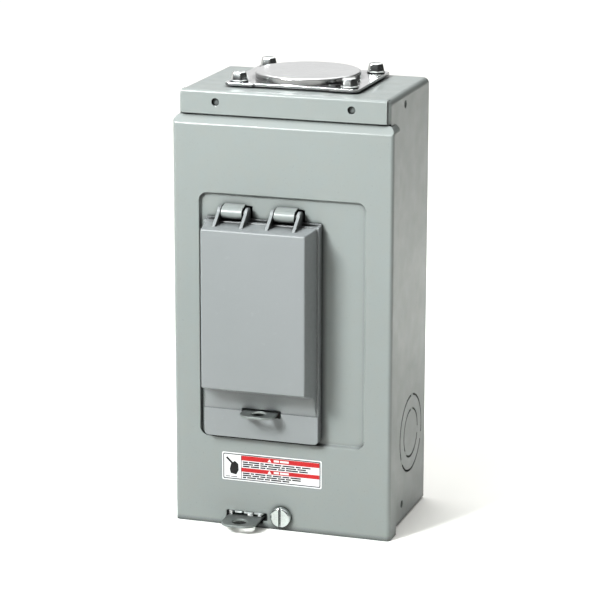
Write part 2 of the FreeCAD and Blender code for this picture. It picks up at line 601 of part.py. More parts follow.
def breaker_case(x):
    """Moulded case with raised nose, handle slot, stab slot, rail notch and terminal pocket."""
    half = BREAKER_W / 2 - 0.1
    z0, z1 = BREAKER_MID_Z - BREAKER_L / 2, BREAKER_MID_Z + BREAKER_L / 2
    case = rounded_block(x - half, x + half, BREAKER_FRONT, BREAKER_BACK, z0, z1, 1.5, X_AXIS)
    nose = rounded_block(x - half, x + half, NOSE_FRONT, BREAKER_FRONT + 4, BREAKER_MID_Z - NOSE_L / 2,
                         BREAKER_MID_Z + NOSE_L / 2, 1.2, X_AXIS)
    drum = rod(V(x, HANDLE_AXIS_Y, BREAKER_MID_Z), HANDLE_DRUM_R + 0.5, 9.0, X_AXIS)
    slot_x, slot_z = HANDLE_SLOT[0] / 2, HANDLE_SLOT[1] / 2
    pocket_x = LUG_W / 2 + 0.5
    tools = [drum,
             block(x - slot_x, x + slot_x, NOSE_FRONT - 1, NOSE_FRONT + 4,
                   BREAKER_MID_Z - slot_z, BREAKER_MID_Z + slot_z),
             block(x - 1.4, x + 1.4, BREAKER_BACK - 16, BREAKER_BACK + 1, z1 - 18, z1 - 2),
             block(x - half - 1, x + half + 1, BREAKER_BACK - 8, BREAKER_BACK + 1, NOTCH_Z - 2, NOTCH_Z + 2),
             block(x - pocket_x, x + pocket_x, LUG_FRONT - 0.2, -40, z0 - 1, z0 + 14),
             rod(V(x, BREAKER_FRONT, z0 + LUG_MID), 3.6, 24, Y_AXIS)]
    return case.fuse(nose).cut(Part.makeCompound(tools)).removeSplitter()


def breaker_handle(x):
    """Toggle on a drum that turns in the case, shown in the raised ON position."""
    centre = V(x, HANDLE_AXIS_Y, BREAKER_MID_Z)
    drum = rod(centre, HANDLE_DRUM_R, 8.0, X_AXIS)
    tip = HANDLE_AXIS_Y - HANDLE_REACH
    lever = prism_yz([(HANDLE_AXIS_Y, BREAKER_MID_Z - HANDLE_ROOT_HALF),
                      (HANDLE_AXIS_Y, BREAKER_MID_Z + HANDLE_ROOT_HALF),
                      (tip, BREAKER_MID_Z + HANDLE_TIP_HALF), (tip, BREAKER_MID_Z - HANDLE_TIP_HALF)],
                     x - HANDLE_W / 2, x + HANDLE_W / 2)
    lever = rounded(lever, 1.2, lambda c, e: along(e, X_AXIS) and c.y < tip + 0.5)
    handle = drum.fuse(lever).cut(rod(centre, HANDLE_PIN_R + 0.05, 20, X_AXIS)).removeSplitter()
    return handle.rotate(centre, X_AXIS, -HANDLE_ON_TILT)


def handle_pins():
    """Steel pins that the two toggles turn on, seated in the case walls."""
    return group([rod(V(x, HANDLE_AXIS_Y, BREAKER_MID_Z), HANDLE_PIN_R, 9.0, X_AXIS) for x in BREAKER_XS])


def breaker_terminals():
    """Load lug block in each breaker's end pocket."""
    z0 = BREAKER_MID_Z - BREAKER_L / 2
    lugs = []
    for x in BREAKER_XS:
        lug = block(x - LUG_W / 2, x + LUG_W / 2, LUG_FRONT, LUG_BACK, z0 + 1, z0 + 13.8)
        lug = lug.cut(rod(V(x, LUG_FRONT + 7.3, z0 + LUG_MID), 3.2, 40, Z_AXIS))
        lugs.append(lug.cut(rod(V(x, LUG_FRONT + 1.8, z0 + LUG_MID), 2.6, 12, Y_AXIS)))
    return group(lugs)


def terminal_screws():
    z0 = BREAKER_MID_Z - BREAKER_L / 2
    return group([slotted_screw(V(x, LUG_FRONT - 4.2, z0 + LUG_MID), V(0, -1, 0), 3.2, 2.4, 2.3, 9.0)
                  for x in BREAKER_XS])


def interior_base():
    """Insulating base: plate, bus channels, side rib and screw bosses."""
    x0, x1 = BASE_X
    z0, z1 = BASE_Z
    base = rounded_block(x0, x1, BASE_FRONT + 5, BASE_BACK, z0, z1, 3.0, Y_AXIS)
    ribs = [block(x0, x0 + 2.5, BASE_FRONT - 6, BASE_FRONT + 6, z0 + 4, z1 - 4),
            block(BREAKER_MID_X - 1.2, BREAKER_MID_X + 1.2, BASE_FRONT - 1.2, BASE_FRONT + 6,
                  z0 + 26, z1 - 4),
            block(17.0, 20.0, BASE_FRONT - 10, BASE_FRONT + 6, z0 + 4, z1 - 4)]
    for x in BREAKER_XS:
        ribs.append(block(x - 9, x + 9, BUS_Y + 2, BASE_FRONT + 6, BUS_END - 2.0, z1 - 6))
    for z in (NEUTRAL_TOP - 8, NEUTRAL_TOP - NEUTRAL_LEN + 8):
        ribs.append(block(NEUTRAL_X - 5, NEUTRAL_X + 5, NEUTRAL_Y + 5, BASE_FRONT + 6, z - 5, z + 5))
    base = base.multiFuse(ribs)
    tools = [rod(V(x, BASE_BACK, z), 2.3, 30, Y_AXIS) for x, z in BASE_SCREWS]
    return base.cut(Part.makeCompound(tools)).removeSplitter()


def interior_screws():
    seat = BASE_FRONT + 5
    return group([slotted_screw(V(x, seat, z), V(0, -1, 0), 3.6, 2.2, 2.0, 7.0) for x, z in BASE_SCREWS])


def line_bus(x):
    """Flat bus bar with an upright stab blade for the breaker."""
    bar = block(x - 7, x + 7, BUS_Y, BUS_Y + 2, BUS_END, LUG_Z + 10.0)
    bar = rounded(bar, 2.0, lambda c, e: along(e, Y_AXIS))
    top = BREAKER_MID_Z + BREAKER_L / 2
    stab = block(x - 0.8, x + 0.8, BUS_Y - 12, BUS_Y + 1, top - 16, top - 4)
    stab = rounded(stab, 3.0, lambda c, e: along(e, X_AXIS) and c.y < BUS_Y - 10)
    return bar.fuse(stab).removeSplitter()


def main_lugs():
    """Cable lugs at the head of the bus bars."""
    lugs = []
    for x in BREAKER_XS:
        lug = rounded_block(x - 8, x + 8, BUS_Y - 20, BUS_Y, LUG_Z - 9, LUG_Z + 9, 3.0, Z_AXIS)
        lug = lug.cut(rod(V(x, BUS_Y - 9, LUG_Z), 5.6, 40, Z_AXIS))
        lugs.append(lug.cut(rod(V(x, BUS_Y - 18, LUG_Z), 4.1, 12, Y_AXIS)))
    return group(lugs)


def lug_screws():
    """Slotted set screws of the main lugs."""
    return group([slotted_screw(V(x, BUS_Y - 18.5, LUG_Z), V(0, -1, 0), 4.0, 3.0, 4.0, 4.5)
                  for x in BREAKER_XS])


def terminal_bar(length, count):
    """Square bar along X from the origin, with a row of wire holes and screw holes facing -Y."""
    pitch = length / (count + 1)
    bar = block(0, length, -5, 5, -5, 5)
    tools = []
    for i in range(count):
        x = pitch * (i + 1)
        tools.append(rod(V(x, 1.0, 0), 2.2, 20, Z_AXIS))
        tools.append(rod(V(x, -4, 0), 2.1, 6, Y_AXIS))
    return bar.cut(Part.makeCompound(tools))


def bar_screws(length, count):
    pitch = length / (count + 1)
    return group([slotted_screw(V(pitch * (i + 1), -6.0, 0), V(0, -1, 0), 3.0, 2.0, 2.0, 4.6)
                  for i in range(count)])


def neutral(shape):
    """Stand a bar along Z at the neutral position."""
    shape = shape.copy()
    shape.Placement = FreeCAD.Placement(V(NEUTRAL_X, NEUTRAL_Y, NEUTRAL_TOP - NEUTRAL_LEN),
                                        FreeCAD.Rotation(Y_AXIS, -90))
    return shape


def ground(shape):
    shape = shape.copy()
    shape.translate(V(-GROUND_LEN / 2, GROUND_Y, GROUND_Z))
    return shape


def ground_standoffs():
    """Two riveted spacers that carry the ground bar off the back panel."""
    rear = GROUND_Y + 5
    return group([Part.makeCylinder(3.0, -SHEET - rear, V(x, rear, GROUND_Z), Y_AXIS)
                  for x in (-GROUND_LEN / 2 + 5, GROUND_LEN / 2 - 5)])


def bonding_strap():
    """Flat strap from the foot of the neutral bar down to the back panel."""
    foot = NEUTRAL_TOP - NEUTRAL_LEN
    x0, x1 = NEUTRAL_X - 4, NEUTRAL_X + 4
    rise = block(x0, x1, NEUTRAL_Y - 5, NEUTRAL_Y - 3.6, foot - 22, foot)
    drop = block(x0, x1, NEUTRAL_Y - 5, -SHEET - 1.4, foot - 23.4, foot - 22)
    sole = block(x0, x1, -SHEET - 1.4, -SHEET, foot - 36, foot - 22)
    top = block(x0, x1, NEUTRAL_Y - 5, NEUTRAL_Y + 5, foot - 1.4, foot)
    sole = sole.cut(rod(V(NEUTRAL_X, 0, foot - 30), 2.1, 10, Y_AXIS))
    return rise.multiFuse([drop, sole, top]).removeSplitter()


def bonding_screw():
    foot = NEUTRAL_TOP - NEUTRAL_LEN
    return slotted_screw(V(NEUTRAL_X, -SHEET - 1.4, foot - 30), V(0, -1, 0), 3.6, 2.0, 2.0, 1.3)


def breaker_rail():
    """Folded rail that the lower ends of the breakers hook on."""
    x0, x1 = BREAKER_MID_X - BREAKER_W, BREAKER_MID_X + BREAKER_W
    foot = block(x0, x1, BASE_FRONT + 3.8, BASE_FRONT + 5, NOTCH_Z - 10, NOTCH_Z + 0.6)
    web = block(x0, x1, BREAKER_BACK - 6, BASE_FRONT + 5, NOTCH_Z - 0.6, NOTCH_Z + 0.6)
    return foot.fuse(web).removeSplitter()


def build_nodes():
    left, right = BREAKER_XS
    return {
        "hood_wrap": hood_wrap(),
        "back_panel": back_panel(),
        "bottom_end_wall": bottom_end_wall(),
        "box_padlock_tab": box_padlock_tab(),
        "right_knockout_ring": side_knockouts(knockout_ring, 1),
        "right_knockout_disc": side_knockouts(knockout_disc, 1),
        "left_knockout_ring": side_knockouts(knockout_ring, -1),
        "left_knockout_disc": side_knockouts(knockout_disc, -1),
        "bottom_knockout_ring": end_knockout(knockout_ring),
        "bottom_knockout_disc": end_knockout(knockout_disc),
        "back_knockout_disc": back_knockout(),
        "hub_gasket": hub_gasket(),
        "hub_closing_plate": hub_closing_plate(),
        "hub_screws": hub_screws(),
        "cover": cover(),
        "hinge_barrels": hinge_barrels(),
        "door_padlock_tab": door_padlock_tab(),
        "cover_label": cover_label(),
        "screw_retainer": screw_retainer(),
        "cover_screw": cover_screw(),
        "breaker_door": breaker_door(),
        "left_breaker_case": breaker_case(left),
        "right_breaker_case": breaker_case(right),
        "left_breaker_handle": breaker_handle(left),
        "right_breaker_handle": breaker_handle(right),
        "handle_pins": handle_pins(),
        "breaker_terminals": breaker_terminals(),
        "terminal_screws": terminal_screws(),
        "interior_base": interior_base(),
        "interior_screws": interior_screws(),
        "left_line_bus": line_bus(left),
        "right_line_bus": line_bus(right),
        "main_lugs": main_lugs(),
        "lug_screws": lug_screws(),
        "neutral_bar": neutral(terminal_bar(NEUTRAL_LEN, BAR_SCREWS["neutral"])),
        "neutral_screws": neutral(bar_screws(NEUTRAL_LEN, BAR_SCREWS["neutral"])),
        "ground_bar": ground(terminal_bar(GROUND_LEN, BAR_SCREWS["ground"])),
        "ground_screws": ground(bar_screws(GROUND_LEN, BAR_SCREWS["ground"])),
        "ground_standoffs": ground_standoffs(),
        "bonding_strap": bonding_strap(),
        "bonding_screw": bonding_screw(),
        "breaker_rail": breaker_rail(),
    }


def main():
    os.makedirs("parts", exist_ok=True)
    for name, shape in build_nodes().items():
        print(name, len(shape.Solids), round(shape.Volume, 1), shape.isValid())
        shape.exportStep("parts/%s.step" % name)


main()
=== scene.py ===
import json
import math

import bmesh
import bpy
from mathutils import Matrix, Vector
from mathutils.bvhtree import BVHTree


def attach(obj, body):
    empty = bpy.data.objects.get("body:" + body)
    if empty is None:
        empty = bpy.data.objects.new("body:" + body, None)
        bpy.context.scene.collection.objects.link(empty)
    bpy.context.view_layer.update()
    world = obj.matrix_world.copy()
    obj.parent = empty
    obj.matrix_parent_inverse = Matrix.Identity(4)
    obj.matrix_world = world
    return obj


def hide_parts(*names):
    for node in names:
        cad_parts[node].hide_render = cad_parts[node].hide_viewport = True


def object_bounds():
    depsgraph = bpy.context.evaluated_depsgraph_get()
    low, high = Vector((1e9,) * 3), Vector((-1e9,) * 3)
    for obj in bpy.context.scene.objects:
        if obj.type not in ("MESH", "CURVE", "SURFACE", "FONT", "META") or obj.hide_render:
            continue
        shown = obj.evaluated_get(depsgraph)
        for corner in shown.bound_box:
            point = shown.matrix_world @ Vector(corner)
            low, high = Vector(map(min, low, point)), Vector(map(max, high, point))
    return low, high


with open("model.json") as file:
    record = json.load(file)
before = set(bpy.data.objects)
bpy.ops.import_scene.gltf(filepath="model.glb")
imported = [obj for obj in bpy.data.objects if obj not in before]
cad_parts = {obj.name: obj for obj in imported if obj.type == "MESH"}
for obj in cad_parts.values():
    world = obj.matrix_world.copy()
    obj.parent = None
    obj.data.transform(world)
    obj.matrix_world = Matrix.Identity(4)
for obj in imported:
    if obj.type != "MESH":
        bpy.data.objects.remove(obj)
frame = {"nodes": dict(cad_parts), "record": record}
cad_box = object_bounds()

# Small outdoor load center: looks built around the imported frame. Front faces -Y, Z is up.
# Lengths of shapes are in millimetres and scaled by MM; the stage, lights, camera and
# material sizes are in metres.

MM = 0.001
NODES = frame["nodes"]
SLOTS = {part["node"]: part["material_slot"] for part in frame["record"]["subparts"]}
BODIES = frame["record"]["behaviour"]["bodies"]
BODY_OF = {node: body for body, nodes in BODIES.items() for node in nodes}
TOP = 121.3


# ---------------------------------------------------------------- materials

class Surface:
    """A Principled material whose pattern is built from object-space nodes."""

    def __init__(self, name, metallic=0.0, coat=0.0, specular=0.5):
        self.material = bpy.data.materials.new(name)
        self.material.use_nodes = True
        self.tree = self.material.node_tree
        self.tree.nodes.clear()
        self.out = self.add("ShaderNodeOutputMaterial")
        self.shader = self.add("ShaderNodeBsdfPrincipled")
        self.shader.inputs["Metallic"].default_value = metallic
        self.shader.inputs["Coat Weight"].default_value = coat
        self.shader.inputs["Specular IOR Level"].default_value = specular
        self.link(self.shader.outputs[0], self.out.inputs["Surface"])
        self.place = self.add("ShaderNodeTexCoord").outputs["Object"]

    def add(self, kind, **values):
        node = self.tree.nodes.new(kind)
        for key, value in values.items():
            setattr(node, key, value)
        return node

    def link(self, source, target):
        self.tree.links.new(source, target)

    def noise(self, scale, detail=3.0, roughness=0.5, stretch=(1, 1, 1)):
        """Noise with features about 1/scale metres across, stretched along an axis if asked."""
        mapping = self.add("ShaderNodeMapping")
        mapping.inputs["Scale"].default_value = stretch
        self.link(self.place, mapping.inputs["Vector"])
        node = self.add("ShaderNodeTexNoise")
        node.inputs["Scale"].default_value = scale
        node.inputs["Detail"].default_value = detail
        node.inputs["Roughness"].default_value = roughness
        self.link(mapping.outputs[0], node.inputs["Vector"])
        return node.outputs["Fac"]

    def ramp(self, value, low, high, to_low=0.0, to_high=1.0):
        node = self.add("ShaderNodeMapRange")
        limits = {"From Min": low, "From Max": high, "To Min": to_low, "To Max": to_high}
        for key, number in limits.items():
            node.inputs[key].default_value = number
        self.link(value, node.inputs["Value"])
        return node.outputs[0]

    def blend(self, factor, a, b, mode="MIX"):
        node = self.add("ShaderNodeMix", data_type="RGBA", blend_type=mode)
        for index, value in ((6, a), (7, b)):
            if isinstance(value, tuple):
                node.inputs[index].default_value = (*value, 1)
            else:
                self.link(value, node.inputs[index])
        if isinstance(factor, float):
            node.inputs[0].default_value = factor
        else:
            self.link(factor, node.inputs[0])
        return node.outputs[2]

    def math(self, operation, a, b=None):
        node = self.add("ShaderNodeMath", operation=operation)
        for index, value in enumerate((a, b)):
            if value is None:
                continue
            if isinstance(value, (int, float)):
                node.inputs[index].default_value = value
            else:
                self.link(value, node.inputs[index])
        return node.outputs[0]

    def edge_mask(self, radius):
        """1 near sharp or tight edges, 0 on flats."""
        bevel = self.add("ShaderNodeBevel", samples=4)
        bevel.inputs["Radius"].default_value = radius
        geometry = self.add("ShaderNodeNewGeometry")
        dot = self.add("ShaderNodeVectorMath", operation="DOT_PRODUCT")
        self.link(bevel.outputs[0], dot.inputs[0])
        self.link(geometry.outputs["Normal"], dot.inputs[1])
        return self.ramp(dot.outputs["Value"], 0.999, 0.93)

    def painted_crevice_shade(self, tone, distance=0.006, depth=0.3):
        """Darken a colour by ambient occlusion: painted shade in gaps and corners, where shadow falls."""
        node = self.add("ShaderNodeAmbientOcclusion", samples=8)
        node.inputs["Distance"].default_value = distance
        open_sky = self.ramp(node.outputs["AO"], 0.38, 0.88, depth, 1.0)
        shade = self.add("ShaderNodeCombineColor")
        for index in range(3):
            self.link(open_sky, shade.inputs[index])
        return self.blend(1.0, tone, shade.outputs[0], "MULTIPLY")

    def color(self, value):
        self.link(value, self.shader.inputs["Base Color"])

    def rough(self, value):
        self.link(value, self.shader.inputs["Roughness"])

    def bump(self, height, distance, strength=1.0):
        node = self.add("ShaderNodeBump")
        node.inputs["Distance"].default_value = distance
        node.inputs["Strength"].default_value = strength
        self.link(height, node.inputs["Height"])
        self.link(node.outputs[0], self.shader.inputs["Normal"])


def paint(name, light, dark, warm):
    """Grey powder coat: faint mottling, orange peel, dust specks, rubbed edges lightened together with a
    painted edge highlight, and painted shade in gaps and corners.
    """
    s = Surface(name, coat=0.22, specular=0.2)
    s.shader.inputs["Coat Roughness"].default_value = 0.08
    broad = s.ramp(s.noise(9, 3), 0.2, 0.8)
    fine = s.ramp(s.noise(160, 3), 0.35, 0.65)
    tone = s.blend(broad, dark, light)
    tone = s.blend(s.math("MULTIPLY", fine, 0.25), tone, warm)
    specks = s.ramp(s.noise(1400, 1), 0.70, 0.76)
    tone = s.blend(s.math("MULTIPLY", specks, 0.35), tone, tuple(0.6 * c for c in dark))
    # Lighter tone along edges: partly rubbed wear, partly a painted highlight on the bends.
    rubbed_and_highlit = s.math("MULTIPLY", s.edge_mask(0.0009), 0.22)
    tone = s.blend(rubbed_and_highlit, tone, tuple(min(1, 1.35 * c) for c in light))
    # Painted shade: the paint colour is darkened in gaps, corners and under overhangs.
    s.color(s.painted_crevice_shade(tone, 0.005, 0.05))
    s.rough(s.ramp(s.noise(90, 4), 0.3, 0.7, 0.36, 0.46))
    s.bump(s.noise(1100, 2), 0.00003, 0.35)
    return s.material


def moulded(name, light, dark, gloss=0.42, grain=2600, depth=0.00002):
    """Moulded plastic: fine spark-eroded grain, slight flow variation, scuffs, worn edges lightened
    together with a painted edge highlight, and painted shade in gaps and corners.
    """
    s = Surface(name, specular=0.45)
    flow = s.ramp(s.noise(22, 3, stretch=(1, 1, 0.35)), 0.3, 0.7)
    tone = s.blend(flow, dark, light)
    scuff = s.ramp(s.noise(260, 4, 0.7), 0.62, 0.72)
    tone = s.blend(s.math("MULTIPLY", scuff, 0.12), tone, tuple(min(1, 1.3 * c + 0.02) for c in light))
    # Lighter tone along edges: partly worn plastic, partly a painted highlight.
    worn_and_highlit = s.math("MULTIPLY", s.edge_mask(0.0006), 0.18)
    tone = s.blend(worn_and_highlit, tone, tuple(min(1, 1.25 * c + 0.02) for c in light))
    # Painted shade: the plastic colour is darkened in gaps and corners, such as the ears' shaded faces.
    s.color(s.painted_crevice_shade(tone, 0.009, 0.06))
    s.rough(s.ramp(s.noise(420, 3), 0.3, 0.7, gloss - 0.05, gloss + 0.06))
    s.bump(s.noise(grain, 2), depth, 0.5)
    return s.material


def plated(name, bright, dull, gloss=0.26, brush=(1, 1, 1), scale=900, shade=0.003):
    """Bare or plated metal: cloudy tone, drawing lines, small dings and duller patches, a painted
    highlight along the edges and painted shade in gaps.
    """
    s = Surface(name, metallic=1.0)
    cloud = s.ramp(s.noise(70, 4), 0.3, 0.7)
    tone = s.blend(cloud, dull, bright)
    lines = s.noise(scale, 2, stretch=brush)
    tone = s.blend(s.math("MULTIPLY", s.ramp(lines, 0.4, 0.6), 0.18), tone, tuple(0.6 * c for c in dull))
    # Painted highlight: edges are brightened toward a lighter metal tone.
    painted_rim_highlight = s.math("MULTIPLY", s.edge_mask(0.0005), 0.4)
    tone = s.blend(painted_rim_highlight, tone, tuple(min(1, 1.25 * c) for c in bright))
    # Painted shade: the metal colour is darkened in gaps, reaching as far as shade.
    s.color(s.painted_crevice_shade(tone, shade, 0.05))
    s.rough(s.ramp(s.noise(130, 4), 0.3, 0.7, gloss - 0.07, gloss + 0.1))
    s.bump(lines, 0.00003, 0.3)
    return s.material


def solid_ink(name, color):
    """Flat printing ink."""
    s = Surface(name, specular=0.1)
    s.color(s.blend(s.ramp(s.noise(900, 3), 0.3, 0.7), color, tuple(0.82 * c for c in color)))
    s.rough(s.ramp(s.noise(300, 2), 0.3, 0.7, 0.5, 0.65))
    s.bump(s.noise(2400, 2), 0.00001, 0.3)
    return s.material


def rubber(name):
    """Soft black rubber with a matt skin."""
    s = Surface(name, specular=0.3)
    s.color(s.blend(s.ramp(s.noise(300, 3), 0.3, 0.7), (0.012, 0.012, 0.012), (0.03, 0.03, 0.03)))
    s.rough(s.ramp(s.noise(500, 3), 0.3, 0.7, 0.7, 0.85))
    s.bump(s.noise(1500, 3), 0.00008, 0.5)
    return s.material


MATERIALS = {
    "enclosure_paint": paint("grey_powder_coat", (0.167, 0.186, 0.181), (0.159, 0.178, 0.173),
                             (0.172, 0.178, 0.164)),
    "door_plastic": moulded("grey_moulded_door", (0.156, 0.167, 0.170), (0.149, 0.161, 0.163), 0.45),
    "zinc": plated("zinc_plate", (0.74, 0.75, 0.75), (0.62, 0.63, 0.63), 0.20),
    "gasket_rubber": rubber("black_rubber"),
    "label_vinyl": moulded("white_vinyl", (0.56, 0.57, 0.57), (0.50, 0.51, 0.52), 0.45, 900, 0.00001),
    "breaker_black": moulded("black_thermoset", (0.028, 0.028, 0.03), (0.016, 0.016, 0.018), 0.40),
    "handle_black": moulded("toggle_black", (0.03, 0.03, 0.03), (0.018, 0.018, 0.02), 0.3),
    "steel_pin": plated("plain_steel", (0.62, 0.62, 0.62), (0.42, 0.42, 0.42), 0.3),
    "base_plastic": moulded("dark_base", (0.055, 0.055, 0.06), (0.035, 0.035, 0.04), 0.5),
    "bus_tin": plated("tinned_bus", (0.78, 0.77, 0.74), (0.6, 0.59, 0.57), 0.33, (1, 1, 12), 500),
    "lug_aluminium": plated("tinned_aluminium", (0.76, 0.76, 0.76), (0.6, 0.6, 0.6), 0.34, (12, 1, 1),
                            600),
    "brass_screw": plated("brass", (0.80, 0.62, 0.32), (0.55, 0.40, 0.18), 0.28),
}


INKS = {
    "black": solid_ink("black_ink", (0.012, 0.012, 0.012)),
    "red": solid_ink("red_ink", (0.36, 0.018, 0.020)),
    "white": solid_ink("white_ink", (0.56, 0.56, 0.55)),
}

# Own finishes of single pieces whose slot is shared with others.
FINISHES = {
    # shade sets how far the painted crevice shade reaches; bolts and dome get a long reach for dark bases
    # and outlines.
    "bolt": plated("bright_bolt_plate", (0.74, 0.77, 0.76), (0.52, 0.55, 0.54), 0.12, shade=0.007),
    "clip": plated("bright_spring_clip", (0.95, 0.96, 0.96), (0.86, 0.87, 0.87), 0.35, shade=0.0004),
    "screw": plated("screw_plate", (0.66, 0.71, 0.70), (0.46, 0.50, 0.49), 0.22),
    # Darker zinc for the padlock tabs: painted shade and painted dark reflection on their faces.
    "tab": plated("tab_zinc_painted_dark", (0.27, 0.295, 0.285), (0.20, 0.22, 0.212), 0.58),
    "dome": plated("drawn_zinc", (0.78, 0.79, 0.79), (0.72, 0.73, 0.73), 0.17, (1, 14, 1), 240, 0.012),
}
OWN_FINISH = {"cover_screw": "screw", "box_padlock_tab": "tab", "door_padlock_tab": "tab",
              "hub_closing_plate": "dome"}


def dress_nodes():
    """Give every CAD node the procedural material of its slot."""
    for name, slot_name in SLOTS.items():
        node = NODES[name]
        for index in range(len(node.material_slots)):
            node.material_slots[index].material = MATERIALS[slot_name]




# ---------------------------------------------------------------- mesh helpers

LARGE_FLAT = 100 * MM ** 2
STRIP_WIDTH = 1.5 * MM
MERGE_DISTANCE = 0.002 * MM
FLAT_DEGREES = 0.6
SHARP_DEGREES = 32.0
BEVEL_SEGMENTS = 2
SPIKE_LIMIT = 0.6


def finish_mesh(name, bm, body, slot_name, material=None, smooth_angle=34.0, replaces=None):
    """Turn a bmesh in metres into a shaded piece that rides on a body."""
    bmesh.ops.recalc_face_normals(bm, faces=bm.faces)
    limit = math.radians(smooth_angle)
    for face in bm.faces:
        area, around = face.calc_area(), face.calc_perimeter()
        face.smooth = area < LARGE_FLAT or area / around < STRIP_WIDTH
    for edge in bm.edges:
        edge.smooth = edge.is_manifold and edge.calc_face_angle(0.0) < limit
    mesh = bpy.data.meshes.new(name)
    bm.to_mesh(mesh)
    bm.free()
    mesh.materials.append(material or MATERIALS[slot_name])
    piece = bpy.data.objects.new(name, mesh)
    bpy.context.scene.collection.objects.link(piece)
    weighted = piece.modifiers.new("weighted", "WEIGHTED_NORMAL")
    weighted.keep_sharp = True
    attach(piece, body)
    if replaces:
        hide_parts(replaces)
    return piece


def softened(node, width):
    """A copy of a CAD node with clean flats and its sharp edges eased by a small radius.

    The bevel can throw a vertex off the skin in a tight corner; such a vertex is put back on it.
    """
    bm = bmesh.new()
    bm.from_mesh(NODES[node].data)
    bmesh.ops.remove_doubles(bm, verts=bm.verts, dist=MERGE_DISTANCE)
    bmesh.ops.dissolve_limit(bm, angle_limit=math.radians(FLAT_DEGREES), verts=bm.verts, edges=bm.edges)
    limit = math.radians(SHARP_DEGREES)
    sharp = [e for e in bm.edges if e.is_manifold and e.calc_face_angle(0.0) > limit]
    skin = BVHTree.FromBMesh(bm)
    bmesh.ops.bevel(bm, geom=sharp, offset=width * MM, offset_type="OFFSET",
                    segments=BEVEL_SEGMENTS, profile=0.5, affect="EDGES", clamp_overlap=False)
    for vert in bm.verts:
        spot, _, _, distance = skin.find_nearest(vert.co)
        if distance > SPIKE_LIMIT * width * MM:
            vert.co = spot
    own = FINISHES.get(OWN_FINISH.get(node))
    return finish_mesh("soft_" + node, bm, BODY_OF[node], SLOTS[node], material=own, replaces=node)


def bridge(bm, low, high):
    """Quads between two closed rings."""
    count = len(low)
    for i in range(count):
        bm.faces.new((low[i], low[(i + 1) % count], high[(i + 1) % count], high[i]))


def turned(bm, centre, axis, rings, segments=48, shape=None):
    """Closed body from (radius, height) rings about an axis; shape bends the radius with the angle."""
    turn = Vector(axis).to_track_quat("Z", "Y")
    last = None
    for radius, height in rings:
        ring = []
        for i in range(segments):
            angle = 2 * math.pi * i / segments
            r = shape(angle, radius) if shape else radius
            spot = Vector((r * math.cos(angle), r * math.sin(angle), height))
            ring.append(bm.verts.new((Vector(centre) + turn @ spot) * MM))
        if last:
            bridge(bm, last, ring)
        else:
            bm.faces.new(list(reversed(ring)))
        last = ring
    bm.faces.new(last)


def hexagon(angle, radius):
    """Radius of a hexagon of the given apothem with slightly rounded corners."""
    sector = math.radians(60)
    off = (angle % sector) - sector / 2
    return min(radius / math.cos(off), radius * 1.125)


def rounded_outline(x0, x1, z0, z1, radius, steps=6):
    """Corner-rounded rectangle as (x, z) points."""
    points = []
    for cx, cz, start in ((x1 - radius, z1 - radius, 0), (x0 + radius, z1 - radius, 90),
                          (x0 + radius, z0 + radius, 180), (x1 - radius, z0 + radius, 270)):
        for i in range(steps + 1):
            a = math.radians(start + 90 * i / steps)
            points.append((cx + radius * math.cos(a), cz + radius * math.sin(a)))
    return points


def plate(bm, points, front, back, ease=0.0):
    """Flat plate facing -Y from an outline of (x, z) points, front edges eased."""
    mid_x = sum(p[0] for p in points) / len(points)
    mid_z = sum(p[1] for p in points) / len(points)
    half_x = max(p[0] for p in points) - mid_x
    half_z = max(p[1] for p in points) - mid_z
    layers = [(back, 0.0), (front + ease, 0.0), (front, ease)] if ease else [(back, 0.0), (front, 0.0)]
    last = None
    for y, inset in layers:
        kx, kz = 1 - inset / half_x, 1 - inset / half_z
        ring = [bm.verts.new(Vector((mid_x + (x - mid_x) * kx, y, mid_z + (z - mid_z) * kz)) * MM)
                for x, z in points]
        if last:
            bridge(bm, last, ring)
        else:
            bm.faces.new(ring)
        last = ring
    bm.faces.new(list(reversed(last)))


def frame_plate(bm, outer, inner, front, back):
    """Flat ring between two outlines with the same number of points."""
    rings = [[bm.verts.new(Vector((x, y, z)) * MM) for x, z in points]
             for points, y in ((outer, back), (outer, front), (inner, front), (inner, back))]
    for a, b in zip(rings, rings[1:] + rings[:1]):
        bridge(bm, a, b)


# ---------------------------------------------------------------- eased copies of the CAD nodes

SOFT_WIDTHS = {
    "hood_wrap": 0.25, "back_panel": 0.25, "bottom_end_wall": 0.25, "cover": 0.3, "breaker_door": 0.28,
    "box_padlock_tab": 0.3, "door_padlock_tab": 0.3, "hinge_barrels": 0.25, "hub_closing_plate": 0.3,
    "hub_gasket": 0.15, "cover_screw": 0.18, "screw_retainer": 0.12, "left_breaker_case": 0.35,
    "right_breaker_case": 0.35, "left_breaker_handle": 0.35, "right_breaker_handle": 0.35,
    "breaker_terminals": 0.25, "terminal_screws": 0.15, "interior_base": 0.4, "interior_screws": 0.15,
    "left_line_bus": 0.2, "right_line_bus": 0.2, "main_lugs": 0.35, "lug_screws": 0.15,
    "neutral_bar": 0.25, "neutral_screws": 0.12, "ground_bar": 0.25, "ground_screws": 0.12,
    "bonding_strap": 0.2, "bonding_screw": 0.12, "breaker_rail": 0.2, "handle_pins": 0.15,
    "ground_standoffs": 0.2, "right_knockout_ring": 0.12, "left_knockout_ring": 0.12,
    "bottom_knockout_ring": 0.12, "right_knockout_disc": 0.12, "left_knockout_disc": 0.12,
    "bottom_knockout_disc": 0.12, "back_knockout_disc": 0.12,
}


def build_soft_copies():
    """Show an eased copy in place of each CAD node."""
    for node, width in SOFT_WIDTHS.items():
        softened(node, width)


# ---------------------------------------------------------------- hub bolts

HUB_Y = -33.0
HUB_BOLTS = [(x, HUB_Y + y) for x in (-31.0, 31.0) for y in (-24.8, 24.8)]
HUB_SEAT = TOP + 2.4
THREAD_TURNS = 11
THREAD_PITCH = 0.8
THREAD_CREST, THREAD_ROOT = 2.2, 1.9


